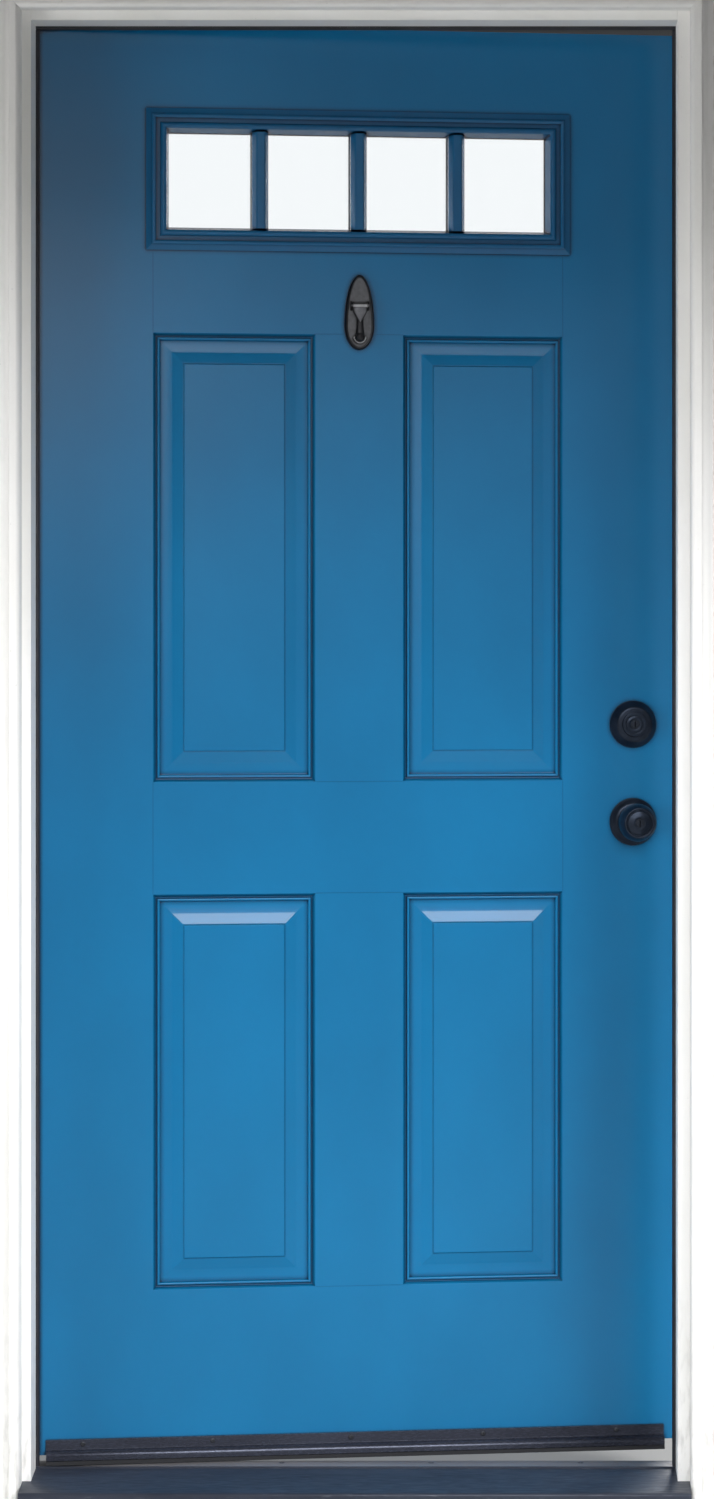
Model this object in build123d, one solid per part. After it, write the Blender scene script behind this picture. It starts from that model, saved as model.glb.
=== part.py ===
from build123d import *
import math
import os

os.makedirs("parts", exist_ok=True)

# Millimetres. X runs across the opening towards the lock side, Y runs inward through the wall,
# Z runs up. X = 0 is the middle of the opening, Y = 0 the outdoor edge of the jambs and Z = 0 the
# underside of the sill. The leaf is drawn closed and then turned on its hinges to stand ajar.

# Leaf
leaf_width = 908.0
leaf_height = 2007.0
leaf_thickness = 44.5
leaf_bottom = 50.0
skin = 2.0
stile_width = 38.0
top_rail_height = 40.0
bottom_rail_height = 40.0
lock_block_margin = 100.0
lock_block_beside_bore = 20.0
ajar_angle = 8.5

# Opening and jambs
edge_gap = 3.2
head_gap = 3.2
jamb_depth = 115.9
jamb_thickness = 31.75
stop_projection = 9.5
seal_gap = 8.0
kerf_width = 3.0
kerf_depth = 10.0
fit_gap = 0.3

# Outer casing: a nosing, a flat, a hollow, a round and an outer band
mould_width = 50.8
mould_thickness = 31.75
hinge_mould_reveal = 12.3
strike_mould_reveal = 17.0
head_mould_reveal = 13.0
mould_nosing = 6.0
mould_flat = 9.0
mould_quirk = 3.0
mould_hollow = 9.0
mould_round = 6.0
mould_band_rise = 4.0

# Sill and threshold
tread_back = 66.0
tread_back_height = 34.0
tread_slope = 5.7
tread_nose = -59.0
tread_thickness = 2.5
nose_drop = 14.0
nose_radius = 4.0
tread_lip_height = 2.0
tread_lip_width = 3.0
sill_core_front = -44.0
sill_shelf_height = 26.0
sill_groove_width = 6.0
sill_groove_depth = 5.0
sill_groove_spacing = 12.0
sill_grooves = 2
cap_front = 69.5
cap_overhang = 4.0
cap_top = 36.0
cap_thickness = 5.0
cap_leg = 3.5
cap_crown = 1.2
cap_edge_fall = 5.0
cap_lip_drop = 4.0

# Raised panels: two below the lock rail and two above it
panel_inner_edge = 62.2
panel_outer_edge = 292.0
lower_panel_bottom = 228.0
lower_panel_top = 784.5
upper_panel_bottom = 942.0
upper_panel_below_top = 432.0
groove_floor = 4.4
groove_width = 6.3
groove_depth = 5.0
bead_width = 4.3
bead_height = 2.6
quirk_width = 1.0
quirk_depth = 6.6
hollow_start = 16.5
hollow_end = 24.0
hollow_end_depth = 4.6
bevel_end = 42.0
bevel_end_depth = 1.9
sticking_width = 45.0

# Glazed insert
lite_width = 604.0
lite_height = 200.0
lite_below_top = 116.0
lite_lip = 12.0
lite_tongue_gap = 1.0
lite_border = 33.5
lite_edge = 2.5
lite_shoulder = 5.0
lite_bead_start = 8.0
lite_bead_end = 14.0
lite_bead_out = 8.0
lite_channel_end = 20.0
lite_channel_out = 3.5
lite_inner_bead_end = 28.5
lite_inner_bead_out = 7.1
bar_width = 23.0
bar_face_width = 10.0
bar_face_out = 5.0
bar_arris = 1.7
bar_shoulder = 9.0
lights = 4
pane_thickness = 3.2
glass_unit_thickness = 12.7
spacer_width = 9.0
glass_cover = 12.5

# Hinges
hinge_height = 101.6
hinge_leaf_width = 34.0
hinge_leaf_thickness = 2.3
knuckle_radius = 6.3
knuckles = 3
knuckle_gap = 0.4
pin_radius = 3.1
pin_clearance = 0.06
pin_head_radius = 5.2
pin_head_height = 3.0
pin_stand_off = 6.5
top_hinge_down = 178.0
bottom_hinge_up = 280.0

# Weatherstrip
seal_proud = 5.0
seal_radius = 3.6
barb_length = 8.0

# Door sweep on the outdoor face
sweep_from_hinge_edge = 12.0
sweep_from_lock_edge = 16.0
sweep_rise = 21.0
sweep_sheet = 1.8
sweep_bulge_out = 11.0
sweep_bulge_top = 7.0
sweep_bulge_below = 7.0
sweep_nose_height = 4.0
sweep_clearance = 1.0
fin_thickness = 2.4
fin_inset = 2.0
fin_grip = 4.0

# Door knocker: an egg-shaped plate with a hinged striker
knocker_below_top = 348.0
knocker_half_width = 21.0
knocker_lower_part = 34.0
knocker_upper_part = 72.0
knocker_rim = 4.2
knocker_thickness = 5.0
knocker_pivot_rise = 28.0
knocker_pivot_out = 10.0
striker_half_width = 10.0
striker_eye_radius = 4.2
striker_shoulder = 6.0
striker_waist = 4.6
striker_plate = 4.0
striker_drop = 44.0
hammer_radius = 6.2
hammer_out = 6.5
hammer_edge = 1.6
ear_thickness = 2.4
ear_clearance = 0.4
ear_spread = 2.5
knocker_pin_radius = 1.6
anvil_wall = 2.2
anvil_height = 3.0
anvil_clearance = 0.6

# Locks, shared sizes
backset = 60.3
knob_height = 882.7
lock_spacing = 139.3
rose_radius = 33.5
cross_bore_radius = 27.0
edge_bore_radius = 12.7
case_radius = 11.9
case_behind_axis = 15.0
faceplate_width = 25.4
faceplate_height = 57.0
faceplate_thickness = 2.3
bolt_height = 17.0
bolt_thickness = 13.0
bolt_clearance = 0.3
plug_radius = 6.5
plug_clearance = 0.06
keyway_width = 2.0
keyway_height = 8.5
keyway_depth = 5.0

# Deadbolt
deadbolt_throw = 25.4
deadbolt_length = 46.0
collar_skirt = 3.0
collar_depth = 18.0
collar_shoulder_radius = 25.5
collar_shoulder_out = 14.5
guard_radius = 18.0
plug_behind_face = 6.0
plate_skirt = 3.0
plate_depth = 9.0
plate_taper = 4.0
thumb_stem_radius = 6.0
thumb_collar = 3.0
thumb_collar_out = 4.0
thumb_length = 40.0
thumb_waist = 12.0
thumb_thickness = 7.0
thumb_out = 19.0
thumb_corner = 4.0
tail_width = 6.4
tail_thickness = 2.6
hub_reach = 5.3

# Knob lock
latch_throw = 12.7
latch_tail = 34.0
latch_nose_flat = 2.0
rose_skirt = 1.5
rose_depth = 8.0
rose_taper = 7.0
rose_clearance = 0.3
knob_neck_radius = 11.0
knob_neck_out = 16.0
knob_radius = 27.0
knob_shoulder_out = 27.0
knob_brow_out = 43.0
knob_out = 56.0
knob_face_radius = 21.5
knob_bore = 18.0
spindle_width = 7.0
spindle_grip = 8.0
button_out = 4.0
button_grip_width = 3.2
button_grip_out = 3.0

# Strikes
latch_strike_height = 57.0
latch_strike_width = 30.0
deadbolt_strike_height = 70.0
deadbolt_strike_width = 28.6
strike_thickness = 1.6
strike_window_gap = 1.5
latch_pocket_depth = 16.0
through_margin = 1.0

# Worked-out places
half_leaf = leaf_width / 2
half_rabbet = half_leaf + edge_gap
half_opening = half_rabbet - stop_projection
half_frame = half_opening + jamb_thickness
face_in = jamb_depth
face_out = face_in - leaf_thickness
stop_depth = face_out - seal_gap
middle_y = (face_in + face_out) / 2
core_range = (face_out + skin, face_in - skin)
leaf_top = leaf_bottom + leaf_height
head_rabbet = leaf_top + head_gap
head_stop = head_rabbet - stop_projection
frame_top = head_stop + jamb_thickness
stile_inside = half_leaf - stile_width
pin_x = -(half_leaf + half_rabbet) / 2
pin_y = face_in + pin_stand_off
lock_x = half_leaf - backset
knob_z = leaf_bottom + knob_height
deadbolt_z = knob_z + lock_spacing
glass_depth = (leaf_thickness - glass_unit_thickness) / 2
lite_half = lite_width / 2
lite_reach = lite_height / 2
lite_z = leaf_top - lite_below_top - lite_reach
knocker_z = leaf_top - knocker_below_top - knocker_upper_part
knocker_pivot_y = face_out - knocker_pivot_out
knocker_pivot_z = knocker_z + knocker_pivot_rise
slope = math.tan(math.radians(tread_slope))
hinge_centres = [
    leaf_bottom + bottom_hinge_up + hinge_height / 2,
    leaf_bottom + leaf_height / 2,
    leaf_top - top_hinge_down - hinge_height / 2,
]
past = 1.0


def block(x_range, y_range, z_range):
    size = [high - low for low, high in (x_range, y_range, z_range)]
    corner = [low for low, high in (x_range, y_range, z_range)]
    return Pos(*corner) * Box(*size, align=(Align.MIN, Align.MIN, Align.MIN))


def rod(radius, length):
    return Cylinder(radius, length, align=(Align.CENTER, Align.CENTER, Align.MIN))


def rod_x(y, z, radius, start, end):
    return Pos(start, y, z) * Rot(0, 90, 0) * rod(radius, end - start)


def rod_y(x, z, radius, start, end):
    return Pos(x, start, z) * Rot(-90, 0, 0) * rod(radius, end - start)


def rod_z(x, y, radius, start, end):
    return Pos(x, y, start) * rod(radius, end - start)


def run_x(outline, start, end):
    return Pos(start, 0, 0) * extrude(Plane.YZ * outline, amount=end - start, dir=(1, 0, 0))


def run_y(outline, start, end):
    return Pos(0, start, 0) * extrude(Plane.XZ * outline, amount=end - start, dir=(0, 1, 0))


def run_z(outline, start, end):
    return Pos(0, 0, start) * extrude(outline, amount=end - start, dir=(0, 0, 1))


def shape(*points):
    return Polygon(*points, align=None)


def mirrored_x(part):
    return mirror(part, about=Plane.YZ)


def other_face(part):
    return mirror(part, about=Plane((0, middle_y, 0), z_dir=(0, 1, 0)))


def turned(points, face, z, outward):
    # A round piece on the lock axis: each point is a radius and a distance off that face.
    profile = shape(*[(radius, outward * off) for radius, off in points])
    return Pos(lock_x, face, z) * revolve(profile, axis=Axis.Y)


def group(parts):
    return Compound([solid for part in parts for solid in part.solids()])


def ajar(part):
    return Pos(pin_x, pin_y, 0) * Rot(0, 0, ajar_angle) * Pos(-pin_x, -pin_y, 0) * part


def write_fixed(name, part):
    export_step(part, "parts/" + name + ".step")


def write_leaf(name, part):
    write_fixed(name, ajar(part))


# Sill and threshold

def tread_line(y):
    return tread_back_height + (y - tread_back) * slope


def tread_outline():
    lip = tread_back - tread_lip_width
    lip_top = tread_back_height + tread_lip_height
    inside = tread_nose + tread_thickness
    nose_top = tread_line(tread_nose)
    nose_low = nose_top - nose_drop
    outline = shape(
        (lip, tread_line(lip)), (lip, lip_top), (tread_back, lip_top),
        (tread_back, tread_back_height - tread_thickness),
        (inside, tread_line(inside) - tread_thickness), (inside, nose_low), (tread_nose, nose_low),
        (tread_nose, nose_top),
    )
    corner = outline.vertices().sort_by_distance((tread_nose, nose_top))[0]
    return fillet(corner, nose_radius)


def sill_plan():
    # In front of the jambs the sill fits between the legs of the casing.
    left = half_opening + hinge_mould_reveal - fit_gap
    right = half_opening + strike_mould_reveal - fit_gap
    return shape(
        (-left, tread_nose), (right, tread_nose), (right, 0), (half_frame, 0),
        (half_frame, jamb_depth), (-half_frame, jamb_depth), (-half_frame, 0), (-left, 0),
    )


def sill_core_outline():
    return shape(
        (sill_core_front, 0), (jamb_depth, 0), (jamb_depth, sill_shelf_height),
        (tread_back, sill_shelf_height), (tread_back, tread_back_height - tread_thickness),
        (sill_core_front, tread_line(sill_core_front) - tread_thickness),
    )


def make_sill():
    room = run_z(sill_plan(), 0, cap_top)
    tread = run_x(tread_outline(), -half_frame, half_frame) & room
    core = run_x(sill_core_outline(), -half_frame, half_frame) & room
    for index in range(sill_grooves):
        start = sill_core_front + sill_groove_spacing * (index + 1)
        core -= block(
            (-half_frame, half_frame), (start, start + sill_groove_width), (-past, sill_groove_depth)
        )
    write_fixed("sill_tread", tread)
    write_fixed("sill_base", core)


def cap_outline():
    # A crowned cap on three legs, with a lip that hangs over the indoor edge of the sill.
    low = sill_shelf_height
    back = jamb_depth + cap_overhang
    under = cap_top - cap_thickness
    edge = cap_top - cap_crown
    inner_leg = jamb_depth - 2 * cap_leg
    crown_end = back - cap_edge_fall
    crown = ThreePointArc((cap_front, edge), ((cap_front + crown_end) / 2, cap_top), (crown_end, edge))
    rest = Polyline(
        (crown_end, edge), (back, edge - cap_edge_fall), (back, low - cap_lip_drop),
        (jamb_depth + fit_gap, low - cap_lip_drop), (jamb_depth + fit_gap, under),
        (inner_leg + cap_leg, under), (inner_leg + cap_leg, low), (inner_leg, low), (inner_leg, under),
        (cap_front + cap_leg, under), (cap_front + cap_leg, low), (cap_front, low), (cap_front, edge),
    )
    return make_face([crown, rest])


def make_threshold():
    reach = half_rabbet - fit_gap
    write_fixed("threshold_cap", run_x(cap_outline(), -reach, reach))


# Jambs

def jamb_outline():
    # Section of the hinge jamb, with the kerf for the weatherstrip in the corner of the stop.
    kerf_side = -half_rabbet + kerf_width
    kerf_floor = stop_depth - kerf_depth
    return shape(
        (-half_frame, 0), (-half_opening, 0), (-half_opening, stop_depth), (kerf_side, stop_depth),
        (kerf_side, kerf_floor), (-half_rabbet, kerf_floor), (-half_rabbet, jamb_depth),
        (-half_frame, jamb_depth),
    )


def sill_under_jambs():
    lip = tread_back - tread_lip_width
    lip_top = tread_back_height + tread_lip_height
    outline = shape(
        (-past, 0), (jamb_depth + past, 0), (jamb_depth + past, sill_shelf_height),
        (tread_back, sill_shelf_height), (tread_back, lip_top), (lip, lip_top), (lip, tread_line(lip)),
        (-past, tread_line(-past)),
    )
    return run_x(outline, -half_frame - past, half_frame + past)


def hinge_mortise(x_range, centre):
    y_range = (face_in - hinge_leaf_width, face_in + past)
    return block(x_range, y_range, (centre - hinge_height / 2, centre + hinge_height / 2))


def make_jambs():
    side = run_z(jamb_outline(), 0, frame_top) - sill_under_jambs()
    hinge_side = side
    for centre in hinge_centres:
        hinge_side -= hinge_mortise((-half_rabbet - hinge_leaf_thickness, -half_rabbet), centre)
    write_fixed("hinge_jamb", hinge_side)

    strike_side = mirrored_x(side)
    for name, z, height, width, pocket in strike_layout():
        strike_side -= strike_recess(z, height, width)
        strike_side -= bolt_room(z, half_rabbet - past, half_rabbet + pocket, strike_window_gap)
    write_fixed("strike_jamb", strike_side)

    stop = block((-half_opening, half_opening), (0, stop_depth), (head_stop, frame_top))
    back = block((-half_rabbet, half_rabbet), (stop_depth, jamb_depth), (head_rabbet, frame_top))
    kerf_y = (stop_depth - kerf_depth, stop_depth)
    kerf = block((-half_opening, half_opening), kerf_y, (head_rabbet - kerf_width, head_rabbet))
    write_fixed("head_jamb", stop + back - kerf)


# Outer casing

def mould_outline():
    # The first coordinate is the distance from the inner edge, the second the distance off the wall.
    front = mould_thickness
    flat_end = mould_nosing + mould_flat
    quirk = front - mould_quirk
    hollow_end = flat_end + mould_hollow
    hollow_floor = quirk - mould_hollow
    round_start = hollow_end + mould_quirk
    round_end = round_start + mould_round
    round_floor = hollow_floor - mould_round
    band_start = round_end + mould_quirk
    band = round_floor + mould_band_rise
    nosing = CenterArc((mould_nosing, front - mould_nosing), mould_nosing, 90, 90)
    flat = Polyline((mould_nosing, front), (flat_end, front), (flat_end, quirk))
    hollow = CenterArc((hollow_end, quirk), mould_hollow, 180, 90)
    step = Line((hollow_end, hollow_floor), (round_start, hollow_floor))
    round_part = CenterArc((round_start, round_floor), mould_round, 0, 90)
    rest = Polyline(
        (round_end, round_floor), (band_start, round_floor), (band_start, band), (mould_width, band),
        (mould_width, 0), (0, 0), (0, front - mould_nosing),
    )
    return make_face([nosing, flat, hollow, step, round_part, rest])


def make_casing():
    left = -half_opening - hinge_mould_reveal
    right = half_opening + strike_mould_reveal
    low = head_stop + head_mould_reveal
    far_left = left - mould_width
    far_right = right + mould_width
    top = low + mould_width
    leg = Rot(0, 0, 180) * run_z(mould_outline(), 0, top)
    lying = run_x(Rot(0, 0, 90) * mould_outline(), far_left, far_right)
    pieces = [
        (
            "hinge_side_brickmould", Pos(left, 0, 0) * leg,
            [(far_left, 0), (left, 0), (left, low), (far_left, top)],
        ),
        (
            "strike_side_brickmould", Pos(right, 0, 0) * mirrored_x(leg),
            [(right, 0), (far_right, 0), (far_right, top), (right, low)],
        ),
        (
            "head_brickmould", Pos(0, 0, low) * lying,
            [(left, low), (right, low), (far_right, top), (far_left, top)],
        ),
    ]
    for name, piece, mitred in pieces:
        write_fixed(name, piece & run_y(shape(*mitred), -mould_thickness, 0))


# Weatherstrip

def seal_section(wall, tip, inward):
    # A bulb between the stop and the closed leaf, with a barb for the kerf. The first coordinate
    # starts at the rabbet wall and runs along inward, which is 1 or -1, the second runs into the wall.
    far = face_out - fit_gap
    start = wall + inward * fit_gap
    centre = wall + inward * kerf_width / 2
    barb = kerf_width / 2 - fit_gap
    bulb = shape((start, stop_depth), (tip, stop_depth), (tip, far), (start, far))
    round_ends = [corner for corner in bulb.vertices() if abs(corner.X - tip) < fit_gap]
    bulb = fillet(round_ends, min(seal_radius, (far - stop_depth) / 2 - fit_gap / 2))
    root = stop_depth - barb_length
    return bulb + shape(
        (centre - barb, stop_depth), (centre - barb, root), (centre + barb, root),
        (centre + barb, stop_depth),
    )


def make_weatherstrips():
    head_tip = head_stop - seal_proud
    side_section = seal_section(-half_rabbet, -half_opening + seal_proud, 1)
    side = run_z(side_section, cap_top + fit_gap, head_tip - fit_gap)
    write_fixed("hinge_side_weatherstrip", side)
    write_fixed("strike_side_weatherstrip", mirrored_x(side))
    head_section = mirror(seal_section(head_rabbet, head_tip, -1), about=Plane((0, 0, 0), z_dir=(1, -1, 0)))
    write_fixed("head_weatherstrip", run_x(head_section, -half_opening, half_opening))


# Strikes

def strike_layout():
    through = half_frame - half_rabbet + through_margin
    return [
        ("latch_strike", knob_z, latch_strike_height, latch_strike_width, latch_pocket_depth),
        ("deadbolt_strike", deadbolt_z, deadbolt_strike_height, deadbolt_strike_width, through),
    ]


def strike_recess(z, height, width):
    y_range = (middle_y - width / 2, middle_y + width / 2)
    return block((half_rabbet, half_rabbet + strike_thickness), y_range, (z - height / 2, z + height / 2))


def bolt_room(z, start, end, clearance):
    half_y = bolt_thickness / 2 + clearance
    half_z = bolt_height / 2 + clearance
    return block((start, end), (middle_y - half_y, middle_y + half_y), (z - half_z, z + half_z))


def make_strikes():
    for name, z, height, width, pocket in strike_layout():
        window = bolt_room(z, half_rabbet - past, half_frame, strike_window_gap)
        write_fixed(name, strike_recess(z, height, width) - window)


# Hinges

def knuckle_spans(centre, first):
    step = hinge_height / knuckles
    low = centre - hinge_height / 2
    half_gap = knuckle_gap / 2
    return [
        (low + index * step + half_gap, low + (index + 1) * step - half_gap)
        for index in range(first, knuckles, 2)
    ]


def hinge_half(centre, x_range, first):
    low = centre - hinge_height / 2
    high = centre + hinge_height / 2
    plate_end = pin_y - knuckle_radius - knuckle_gap
    half = block(x_range, (face_in - hinge_leaf_width, plate_end), (low, high))
    for start, end in knuckle_spans(centre, first):
        half += block(x_range, (plate_end, pin_y), (start, end))
        half += rod_z(pin_x, pin_y, knuckle_radius, start, end)
    return half - rod_z(pin_x, pin_y, pin_radius + pin_clearance, low - past, high + past)


def hinge_pin(centre):
    high = centre + hinge_height / 2
    shank = rod_z(pin_x, pin_y, pin_radius, centre - hinge_height / 2, high)
    return shank + rod_z(pin_x, pin_y, pin_head_radius, high, high + pin_head_height)


def make_hinges():
    frame_plate = (-half_rabbet - hinge_leaf_thickness, -half_rabbet)
    door_plate = (-half_leaf, -half_leaf + hinge_leaf_thickness)
    write_fixed("hinge_frame_leaves", group([hinge_half(z, frame_plate, 0) for z in hinge_centres]))
    write_fixed("hinge_pins", group([hinge_pin(z) for z in hinge_centres]))
    write_leaf("hinge_door_leaves", group([hinge_half(z, door_plate, 1) for z in hinge_centres]))


# Raised panels

def panel_outlines():
    rows = [
        (leaf_bottom + lower_panel_bottom, leaf_bottom + lower_panel_top),
        (leaf_bottom + upper_panel_bottom, leaf_top - upper_panel_below_top),
    ]
    columns = [(-panel_outer_edge, -panel_inner_edge), (panel_inner_edge, panel_outer_edge)]
    return [(low, high, bottom, top) for bottom, top in rows for low, high in columns]


def sticking_back():
    # The shell's hidden side: the depth of each slope behind the face.
    return [
        (0, skin), (groove_floor, groove_depth + skin), (groove_width + bead_width, quirk_depth + skin),
        (hollow_start, quirk_depth + skin), (bevel_end, bevel_end_depth + skin), (sticking_width, skin),
    ]


def sticking_section():
    # From the panel's outline inwards, with the depth below the face: a groove, a bead, a quirk,
    # a hollow, the bevel and the small step up to the raised field.
    bead_end = groove_width + bead_width
    bead_side = bead_width / 4
    bead_top = groove_depth - bead_height
    return shape(
        (0, 0), (groove_floor, groove_depth), (groove_width, groove_depth),
        (groove_width + bead_side, bead_top), (bead_end - bead_side, bead_top), (bead_end, groove_depth),
        (bead_end + quirk_width, quirk_depth), (hollow_start, quirk_depth), (hollow_end, hollow_end_depth),
        (bevel_end, bevel_end_depth), (bevel_end + quirk_width, bevel_end_depth), (sticking_width, 0),
        *reversed(sticking_back()),
    )


def framed(section, low, high, bottom, top):
    # Runs a section round a rectangle on the outdoor face, with mitred corners. The section's
    # first coordinate runs inwards from the rectangle and its second into the leaf.
    middle = (bottom + top) / 2
    corners = [(low, middle), (low, top), (high, top), (high, bottom), (low, bottom), (low, middle)]
    route = Polyline(*[(x, face_out, z) for x, z in corners])
    start = Plane((low, face_out, middle), x_dir=(1, 0, 0), z_dir=(0, 0, 1))
    return sweep(start * section, path=route, transition=Transition.RIGHT)


def lite_cutout(y_range):
    half = lite_half - lite_lip
    reach = lite_reach - lite_lip
    return block((-half, half), y_range, (lite_z - reach, lite_z + reach))


def lock_bores():
    bores = []
    for z in (knob_z, deadbolt_z):
        bores.append(rod_y(lock_x, z, cross_bore_radius, face_out - past, face_in + past))
        bores.append(rod_x(middle_y, z, edge_bore_radius, lock_x, half_leaf + past))
    return bores


def moulded_skin():
    sheet = (face_out, face_out + skin)
    through = (face_out - past, face_out + skin + past)
    shell = block((-half_leaf, half_leaf), sheet, (leaf_bottom, leaf_top)) - lite_cutout(through)
    for low, high, bottom, top in panel_outlines():
        inset = sticking_width
        shell -= block((low, high), through, (bottom, top))
        shell += framed(sticking_section(), low, high, bottom, top)
        shell += block((low + inset, high - inset), sheet, (bottom + inset, top - inset))
    for bore in lock_bores():
        shell -= bore
    return shell


def make_skins():
    outer = moulded_skin()
    inner = other_face(outer)
    for centre in hinge_centres:
        inner -= hinge_mortise((-half_leaf, -half_leaf + hinge_leaf_thickness), centre)
    write_leaf("outer_skin", outer)
    write_leaf("inner_skin", inner)


# Leaf frame and core

def lock_block_room():
    left = lock_x - cross_bore_radius - lock_block_beside_bore
    return block(
        (left, stile_inside), core_range, (knob_z - lock_block_margin, deadbolt_z + lock_block_margin)
    )


def make_leaf_frame():
    heights = (leaf_bottom, leaf_top)
    low_rail_top = leaf_bottom + bottom_rail_height
    high_rail_bottom = leaf_top - top_rail_height
    hinge_stile = block((-half_leaf, -stile_inside), core_range, heights)
    for centre in hinge_centres:
        hinge_stile -= hinge_mortise((-half_leaf, -half_leaf + hinge_leaf_thickness), centre)
    lock_stile = block((stile_inside, half_leaf), core_range, heights)
    lock_block = lock_block_room()
    for bore in lock_bores():
        lock_stile -= bore
        lock_block -= bore
    for z in (knob_z, deadbolt_z):
        lock_stile -= faceplate_blank(z)
    between = (-stile_inside, stile_inside)
    write_leaf("hinge_stile", hinge_stile)
    write_leaf("lock_stile", lock_stile)
    write_leaf("lock_block", lock_block)
    write_leaf("bottom_rail", block(between, core_range, (leaf_bottom, low_rail_top)))
    write_leaf("top_rail", block(between, core_range, (high_rail_bottom, leaf_top)))
    core = block(between, core_range, (low_rail_top, high_rail_bottom))
    core -= lite_cutout((face_out, face_in))
    core -= lock_block_room()
    recess_section = shape(*sticking_back(), (sticking_width, 0), (0, 0))
    for outline in panel_outlines():
        recess = framed(recess_section, *outline)
        core -= recess
        core -= other_face(recess)
    write_leaf("foam_core", core)


# Glazed insert

def lite_section():
    # From the insert's outer edge inwards. The second coordinate is positive into the leaf: a lip
    # on the skin, two beads with a channel between, the slope to the glass and the tongue behind.
    tongue = lite_lip + lite_tongue_gap
    seat = leaf_thickness / 2 - fit_gap / 2
    glass_edge = lite_border - glass_cover - fit_gap
    outer_middle = (lite_bead_start + lite_bead_end) / 2
    inner_start = lite_channel_end + lite_tongue_gap
    inner_middle = (inner_start + lite_inner_bead_end) / 2
    lip = Polyline((0, 0), (0, -lite_edge), (lite_bead_start, -lite_shoulder))
    bead = ThreePointArc(
        (lite_bead_start, -lite_shoulder), (outer_middle, -lite_bead_out), (lite_bead_end, -lite_shoulder)
    )
    channel = Polyline(
        (lite_bead_end, -lite_shoulder), (lite_bead_end, -lite_channel_out),
        (lite_channel_end, -lite_channel_out), (inner_start, -lite_shoulder),
    )
    inner_bead = ThreePointArc(
        (inner_start, -lite_shoulder), (inner_middle, -lite_inner_bead_out),
        (lite_inner_bead_end, -lite_shoulder),
    )
    rest = Polyline(
        (lite_inner_bead_end, -lite_shoulder), (lite_border, glass_depth), (glass_edge, glass_depth),
        (glass_edge, seat), (tongue, seat), (tongue, 0), (0, 0),
    )
    return make_face([lip, bead, channel, inner_bead, rest])


def glazing_bar(x):
    glass = face_out + glass_depth
    face = face_out - bar_face_out
    half = bar_width / 2
    flat = bar_face_width / 2
    outline = shape(
        (x - half, glass), (x - half, glass - bar_shoulder), (x - flat - bar_arris, face + bar_arris),
        (x - flat, face), (x + flat, face), (x + flat + bar_arris, face + bar_arris),
        (x + half, glass - bar_shoulder), (x + half, glass),
    )
    reach = lite_reach - lite_border + bar_arris
    return run_z(outline, lite_z - reach, lite_z + reach)


def lite_frame():
    frame = framed(lite_section(), -lite_half, lite_half, lite_z - lite_reach, lite_z + lite_reach)
    span = lite_width - 2 * lite_border + bar_width
    for index in range(1, lights):
        frame += glazing_bar(-span / 2 + index * span / lights)
    return frame


def make_glazing():
    frame = lite_frame()
    write_leaf("outer_lite_frame", frame)
    write_leaf("inner_lite_frame", other_face(frame))
    cover = lite_border - glass_cover
    half = lite_half - cover
    reach = lite_reach - cover
    heights = (lite_z - reach, lite_z + reach)
    near = middle_y - glass_unit_thickness / 2
    far = middle_y + glass_unit_thickness / 2
    gap = (near + pane_thickness, far - pane_thickness)
    write_leaf("outer_pane", block((-half, half), (near, gap[0]), heights))
    write_leaf("inner_pane", block((-half, half), (gap[1], far), heights))
    inside = half - spacer_width
    hole = block((-inside, inside), gap, (heights[0] + spacer_width, heights[1] - spacer_width))
    write_leaf("glass_spacer", block((-half, half), gap, heights) - hole)


# Door sweep

def make_sweep():
    front = face_out - sweep_bulge_out
    sheet = face_out - sweep_sheet
    low = leaf_bottom - sweep_bulge_below
    nose = low + sweep_nose_height
    shoulder = leaf_bottom + sweep_bulge_top
    top = leaf_bottom + sweep_rise
    start = -half_leaf + sweep_from_hinge_edge
    end = half_leaf - sweep_from_lock_edge
    sheet_part = Polyline((face_out, low), (face_out, top), (sheet, top), (sheet, shoulder))
    bulge = TangentArc((front, nose), (sheet, shoulder), tangent=(0, 1))
    foot = Polyline((front, nose), (front, low), (face_out, low))
    fin_back = front + fin_inset + fin_thickness
    grip = shape(
        (front + fin_inset, low), (fin_back, low), (fin_back, low + fin_grip),
        (front + fin_inset, low + fin_grip),
    )
    hem = cap_top + sweep_clearance
    fin = shape(
        (front + fin_inset, low + fin_grip), (front + fin_inset, low), (front, hem),
        (front + fin_inset, hem), (fin_back, low), (fin_back, low + fin_grip),
    )
    carrier = make_face([sheet_part, bulge, foot]) - grip
    write_leaf("sweep_carrier", run_x(carrier, start, end))
    write_leaf("sweep_fin", run_x(fin, start, end))


# Door knocker

def egg(half_width, lower, upper):
    # Two half ellipses that meet at the widest line, which lies on X.
    top = EllipticalCenterArc((0, 0), half_width, upper, 0, arc_size=180)
    bottom = EllipticalCenterArc((0, 0), half_width, lower, 180, arc_size=180)
    return make_face([top, bottom])


def knocker_ears():
    root = face_out - knocker_thickness
    low = knocker_pivot_z - striker_eye_radius
    high = knocker_pivot_z + striker_eye_radius
    tip = knocker_pivot_y - striker_eye_radius
    outline = shape(
        (root, low - ear_spread), (knocker_pivot_y, low), (tip, low + ear_spread), (tip, high - ear_spread),
        (knocker_pivot_y, high), (root, high + ear_spread),
    )
    start = striker_half_width + ear_clearance
    ear = run_x(outline, start, start + ear_thickness)
    return [ear, mirrored_x(ear)]


def anvil():
    # An open-topped rim under the hammer.
    root = face_out - knocker_thickness
    z = knocker_pivot_z - striker_drop
    inside = hammer_radius + anvil_clearance
    outside = inside + anvil_wall
    rim = rod_y(0, z, outside, root - anvil_height, root) - rod_y(0, z, inside, root - anvil_height, root)
    return rim - block((-outside, outside), (root - anvil_height, root), (z, z + outside))


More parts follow.
